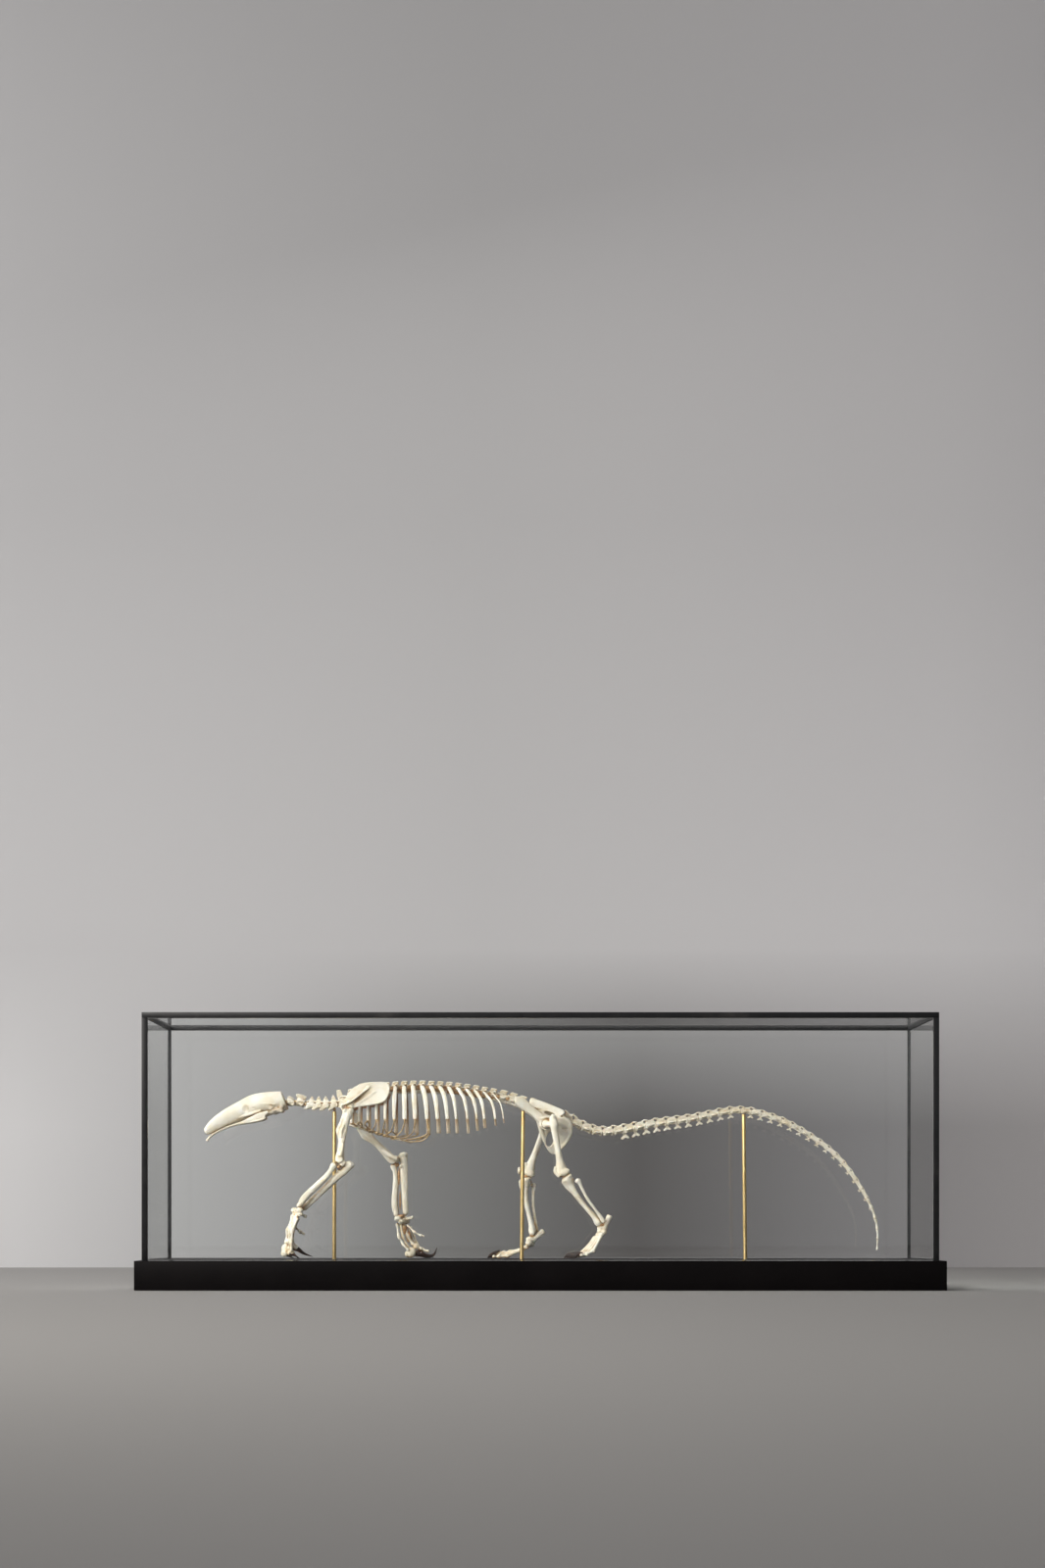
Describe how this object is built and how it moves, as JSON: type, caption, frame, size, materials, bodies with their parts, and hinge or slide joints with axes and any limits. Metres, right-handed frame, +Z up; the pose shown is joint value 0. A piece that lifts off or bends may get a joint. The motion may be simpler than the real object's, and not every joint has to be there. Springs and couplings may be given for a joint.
{
  "type": "anteater skeleton",
  "caption": "Mounted skeleton of a small anteater, walking, on thin brass rods in a long glass case with a slim black frame and a black plinth.",
  "frame": {"origin": "middle of the plinth's bottom, where the case rests", "axes": "+X along the case from the head to the tail, +Y from the skeleton's left side to its right side, away from the viewer, +Z up"},
  "size_m": [1.2, 0.364, 0.412],
  "materials": {
    "bone": "clean ivory bone, dry and matte, browner in its hollows and joints",
    "cartilage": "dried tan cartilage, slightly glossy",
    "claw": "dark horn, red-brown where it is thin",
    "plinth_paint": "black paint, satin",
    "frame_paint": "black, satin",
    "brass": "polished brass rod",
    "glass": "clear glass"
  },
  "bodies": {
    "root": {"plinth": "plinth_paint", "case_frame": "frame_paint", "glass_front": "glass", "glass_back": "glass", "glass_left": "glass", "glass_right": "glass", "glass_top": "glass", "rod_front": "brass", "rod_middle": "brass", "rod_tail": "brass", "skull": "bone", "lower_jaw": "bone", "atlas": "bone", "axis": "bone", "neck_vertebrae": "bone", "breastbone": "cartilage", "loin_vertebrae": "bone", "hip_bone": "bone", "tail_base": "bone", "tail_middle": "bone", "tail_end": "bone", "rib_pair_01": "bone", "rib_pair_02": "bone", "rib_pair_03": "bone", "rib_pair_04": "bone", "rib_pair_05": "bone", "rib_pair_06": "bone", "rib_pair_07": "bone", "rib_pair_08": "bone", "rib_pair_09": "bone", "rib_pair_10": "bone", "rib_pair_11": "bone", "rib_pair_12": "bone", "rib_pair_13": "bone", "rib_pair_14": "bone", "rib_pair_15": "bone", "rib_pair_16": "bone", "rib_pair_17": "bone", "shoulder_blade_left": "bone", "humerus_left": "bone", "radius_left": "bone", "ulna_left": "bone", "hand_left": "bone", "femur_left": "bone", "kneecap_left": "bone", "tibia_left": "bone", "fibula_left": "bone", "foot_left": "bone", "hand_left_claw": "claw", "shoulder_blade_right": "bone", "humerus_right": "bone", "radius_right": "bone", "ulna_right": "bone", "hand_right": "bone", "femur_right": "bone", "kneecap_right": "bone", "tibia_right": "bone", "fibula_right": "bone", "foot_right": "bone", "hand_right_claw": "claw"}
  },
  "joints": []
}
